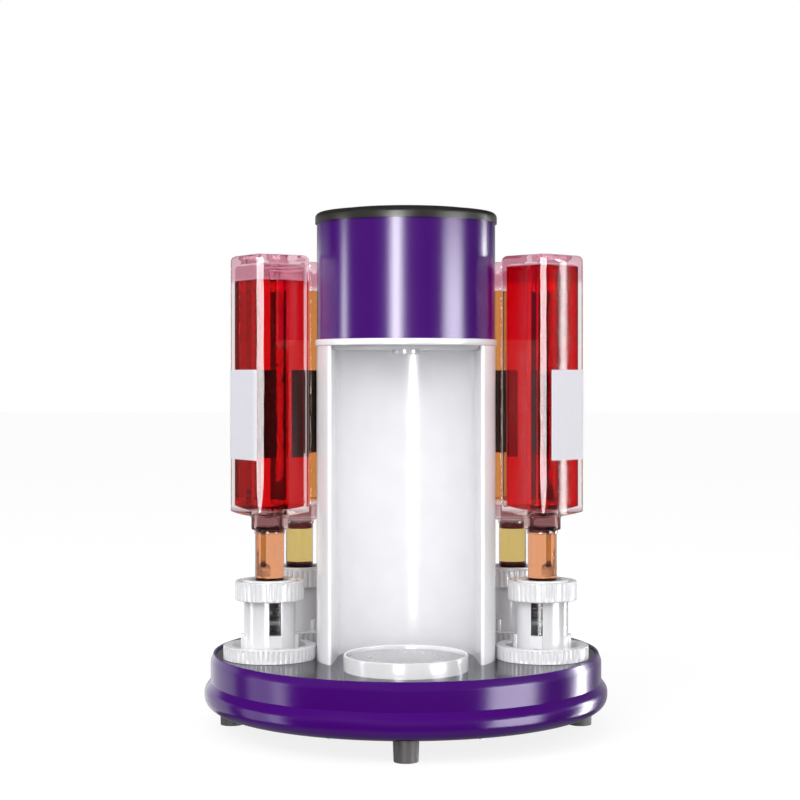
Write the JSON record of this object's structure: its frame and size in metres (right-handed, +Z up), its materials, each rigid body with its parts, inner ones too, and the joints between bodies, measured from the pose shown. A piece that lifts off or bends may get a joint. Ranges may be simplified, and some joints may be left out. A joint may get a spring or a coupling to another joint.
{
  "type": "party shot dispenser",
  "caption": "Countertop drink dispenser: inverted square bottles in locking sockets around a white column with a glass niche, on a round base with hidden pumps.",
  "frame": {"origin": "on the floor under the base's centre", "axes": "+Z up, the glass niche faces -Y, +X to the right when seen from the front"},
  "size_m": [0.4004, 0.4004, 0.509],
  "materials": {
    "purple_shell": "high gloss purple lacquer",
    "deck_metal": "polished dark grey",
    "dark_plastic": "fine matte",
    "foot_rubber": "matte",
    "screw_steel": "dark zinc plated",
    "white_plastic": "gloss white",
    "ceiling_plastic": "satin grey",
    "cap_plastic": "satin with a soft sheen",
    "pad_plastic": "satin black",
    "board_laminate": "solder mask",
    "black_plastic": "semi gloss",
    "motor_steel": "plain steel can",
    "pump_plastic": "moulded",
    "hose_silicone": "translucent silicone",
    "bottle_glass": "clear glass",
    "valve_plastic": "moulded",
    "spring_steel": "stainless wire"
  },
  "bodies": {
    "base": {"base_shell": "purple_shell", "deck_plate": "deck_metal", "base_plate": "dark_plastic", "case_screws": "screw_steel", "rubber_feet": "foot_rubber", "foot_screws": "screw_steel", "column": "white_plastic", "collar_disc": "white_plastic", "ceiling_panel": "ceiling_plastic", "nozzle": "white_plastic", "upper_shell": "purple_shell", "control_board": "board_laminate", "rear_panel": "dark_plastic", "power_jack": "black_plastic", "docks": "white_plastic", "pump_motors": "motor_steel", "pump_heads": "pump_plastic", "pump_loops": "hose_silicone", "suction_tubes": "hose_silicone", "riser_tubes": "hose_silicone"},
    "top_cap": {"top_cap": "cap_plastic", "control_pad": "pad_plastic"},
    "drip_tray": {"drip_tray": "white_plastic"},
    "drip_plate": {"drip_plate": "deck_metal"},
    "power_switch": {"power_switch": "black_plastic"},
    "lock_ring_1": {"lock_ring_1": "white_plastic"},
    "socket_1": {"socket_1": "white_plastic", "valve_spring_1": "spring_steel"},
    "clamp_nut_1": {"clamp_nut_1": "white_plastic"},
    "bottle_1": {"bottle_1": "bottle_glass"},
    "valve_1": {"valve_1": "valve_plastic"},
    "pump_rotor_1": {"pump_rotor_1": "pump_plastic"},
    "lock_ring_2": {"lock_ring_2": "white_plastic"},
    "socket_2": {"socket_2": "white_plastic", "valve_spring_2": "spring_steel"},
    "clamp_nut_2": {"clamp_nut_2": "white_plastic"},
    "bottle_2": {"bottle_2": "bottle_glass"},
    "valve_2": {"valve_2": "valve_plastic"},
    "pump_rotor_2": {"pump_rotor_2": "pump_plastic"},
    "lock_ring_3": {"lock_ring_3": "white_plastic"},
    "socket_3": {"socket_3": "white_plastic", "valve_spring_3": "spring_steel"},
    "clamp_nut_3": {"clamp_nut_3": "white_plastic"},
    "bottle_3": {"bottle_3": "bottle_glass"},
    "valve_3": {"valve_3": "valve_plastic"},
    "pump_rotor_3": {"pump_rotor_3": "pump_plastic"},
    "lock_ring_4": {"lock_ring_4": "white_plastic"},
    "socket_4": {"socket_4": "white_plastic", "valve_spring_4": "spring_steel"},
    "clamp_nut_4": {"clamp_nut_4": "white_plastic"},
    "bottle_4": {"bottle_4": "bottle_glass"},
    "valve_4": {"valve_4": "valve_plastic"},
    "pump_rotor_4": {"pump_rotor_4": "pump_plastic"},
    "lock_ring_5": {"lock_ring_5": "white_plastic"},
    "socket_5": {"socket_5": "white_plastic", "valve_spring_5": "spring_steel"},
    "clamp_nut_5": {"clamp_nut_5": "white_plastic"},
    "bottle_5": {"bottle_5": "bottle_glass"},
    "valve_5": {"valve_5": "valve_plastic"},
    "pump_rotor_5": {"pump_rotor_5": "pump_plastic"}
  },
  "joints": [
    {"name": "cap_lift", "type": "slide", "parent": "base", "child": "top_cap", "axis": [0, 0, 1], "range_m": [0, 0.04]},
    {"name": "tray_lift", "type": "slide", "parent": "base", "child": "drip_tray", "axis": [0, 0, 1], "range_m": [0, 0.04]},
    {"name": "plate_lift", "type": "slide", "parent": "drip_tray", "child": "drip_plate", "axis": [0, 0, 1], "range_m": [0, 0.03]},
    {"name": "switch_rock", "type": "hinge", "parent": "base", "child": "power_switch", "pos_m": [-0.017, 0.18637, 0.05705], "axis": [0, 0, 1], "range_deg": [-8, 8]},
    {"name": "ring_turn_1", "type": "hinge", "parent": "base", "child": "lock_ring_1", "pos_m": [-0.13321, -0.03971, 0.079], "axis": [0, 0, 1], "range_deg": [0, 40]},
    {"name": "socket_lift_1", "type": "slide", "parent": "base", "child": "socket_1", "axis": [0, 0, 1], "range_m": [0, 0.05]},
    {"name": "nut_turn_1", "type": "hinge", "parent": "socket_1", "child": "clamp_nut_1", "pos_m": [-0.13321, -0.03971, 0.139], "axis": [0, 0, 1], "range_deg": [0, 120]},
    {"name": "bottle_lift_1", "type": "slide", "parent": "socket_1", "child": "bottle_1", "axis": [0, 0, 1], "range_m": [0, 0.06]},
    {"name": "valve_travel_1", "type": "slide", "parent": "socket_1", "child": "valve_1", "axis": [0, 0, 1], "range_m": [0, 0.004], "stiffness_N_per_m": 300, "springref_m": -0.004, "deforming": ["valve_spring_1"]},
    {"name": "rotor_spin_1", "type": "hinge", "parent": "base", "child": "pump_rotor_1", "pos_m": [-0.07187, -0.02143, 0.042], "axis": [-0.9583, -0.2857, 0], "continuous": true},
    {"name": "ring_turn_2", "type": "hinge", "parent": "base", "child": "lock_ring_2", "pos_m": [-0.11145, 0.08307, 0.079], "axis": [0, 0, 1], "range_deg": [0, 40]},
    {"name": "socket_lift_2", "type": "slide", "parent": "base", "child": "socket_2", "axis": [0, 0, 1], "range_m": [0, 0.05]},
    {"name": "nut_turn_2", "type": "hinge", "parent": "socket_2", "child": "clamp_nut_2", "pos_m": [-0.11145, 0.08307, 0.139], "axis": [0, 0, 1], "range_deg": [0, 120]},
    {"name": "bottle_lift_2", "type": "slide", "parent": "socket_2", "child": "bottle_2", "axis": [0, 0, 1], "range_m": [0, 0.06]},
    {"name": "valve_travel_2", "type": "slide", "parent": "socket_2", "child": "valve_2", "axis": [0, 0, 1], "range_m": [0, 0.004], "stiffness_N_per_m": 300, "springref_m": -0.004, "deforming": ["valve_spring_2"]},
    {"name": "rotor_spin_2", "type": "hinge", "parent": "base", "child": "pump_rotor_2", "pos_m": [-0.06013, 0.04482, 0.042], "axis": [-0.8018, 0.5976, 0], "continuous": true},
    {"name": "ring_turn_3", "type": "hinge", "parent": "base", "child": "lock_ring_3", "pos_m": [0, 0.139, 0.079], "axis": [0, 0, 1], "range_deg": [0, 40]},
    {"name": "socket_lift_3", "type": "slide", "parent": "base", "child": "socket_3", "axis": [0, 0, 1], "range_m": [0, 0.05]},
    {"name": "nut_turn_3", "type": "hinge", "parent": "socket_3", "child": "clamp_nut_3", "pos_m": [0, 0.139, 0.139], "axis": [0, 0, 1], "range_deg": [0, 120]},
    {"name": "bottle_lift_3", "type": "slide", "parent": "socket_3", "child": "bottle_3", "axis": [0, 0, 1], "range_m": [0, 0.06]},
    {"name": "valve_travel_3", "type": "slide", "parent": "socket_3", "child": "valve_3", "axis": [0, 0, 1], "range_m": [0, 0.004], "stiffness_N_per_m": 300, "springref_m": -0.004, "deforming": ["valve_spring_3"]},
    {"name": "rotor_spin_3", "type": "hinge", "parent": "base", "child": "pump_rotor_3", "pos_m": [0, 0.075, 0.042], "axis": [0, 1, 0], "continuous": true},
    {"name": "ring_turn_4", "type": "hinge", "parent": "base", "child": "lock_ring_4", "pos_m": [0.11145, 0.08307, 0.079], "axis": [0, 0, 1], "range_deg": [0, 40]},
    {"name": "socket_lift_4", "type": "slide", "parent": "base", "child": "socket_4", "axis": [0, 0, 1], "range_m": [0, 0.05]},
    {"name": "nut_turn_4", "type": "hinge", "parent": "socket_4", "child": "clamp_nut_4", "pos_m": [0.11145, 0.08307, 0.139], "axis": [0, 0, 1], "range_deg": [0, 120]},
    {"name": "bottle_lift_4", "type": "slide", "parent": "socket_4", "child": "bottle_4", "axis": [0, 0, 1], "range_m": [0, 0.06]},
    {"name": "valve_travel_4", "type": "slide", "parent": "socket_4", "child": "valve_4", "axis": [0, 0, 1], "range_m": [0, 0.004], "stiffness_N_per_m": 300, "springref_m": -0.004, "deforming": ["valve_spring_4"]},
    {"name": "rotor_spin_4", "type": "hinge", "parent": "base", "child": "pump_rotor_4", "pos_m": [0.06013, 0.04482, 0.042], "axis": [0.8018, 0.5976, 0], "continuous": true},
    {"name": "ring_turn_5", "type": "hinge", "parent": "base", "child": "lock_ring_5", "pos_m": [0.13321, -0.03971, 0.079], "axis": [0, 0, 1], "range_deg": [0, 40]},
    {"name": "socket_lift_5", "type": "slide", "parent": "base", "child": "socket_5", "axis": [0, 0, 1], "range_m": [0, 0.05]},
    {"name": "nut_turn_5", "type": "hinge", "parent": "socket_5", "child": "clamp_nut_5", "pos_m": [0.13321, -0.03971, 0.139], "axis": [0, 0, 1], "range_deg": [0, 120]},
    {"name": "bottle_lift_5", "type": "slide", "parent": "socket_5", "child": "bottle_5", "axis": [0, 0, 1], "range_m": [0, 0.06]},
    {"name": "valve_travel_5", "type": "slide", "parent": "socket_5", "child": "valve_5", "axis": [0, 0, 1], "range_m": [0, 0.004], "stiffness_N_per_m": 300, "springref_m": -0.004, "deforming": ["valve_spring_5"]},
    {"name": "rotor_spin_5", "type": "hinge", "parent": "base", "child": "pump_rotor_5", "pos_m": [0.07187, -0.02143, 0.042], "axis": [0.9583, -0.2857, 0], "continuous": true}
  ]
}
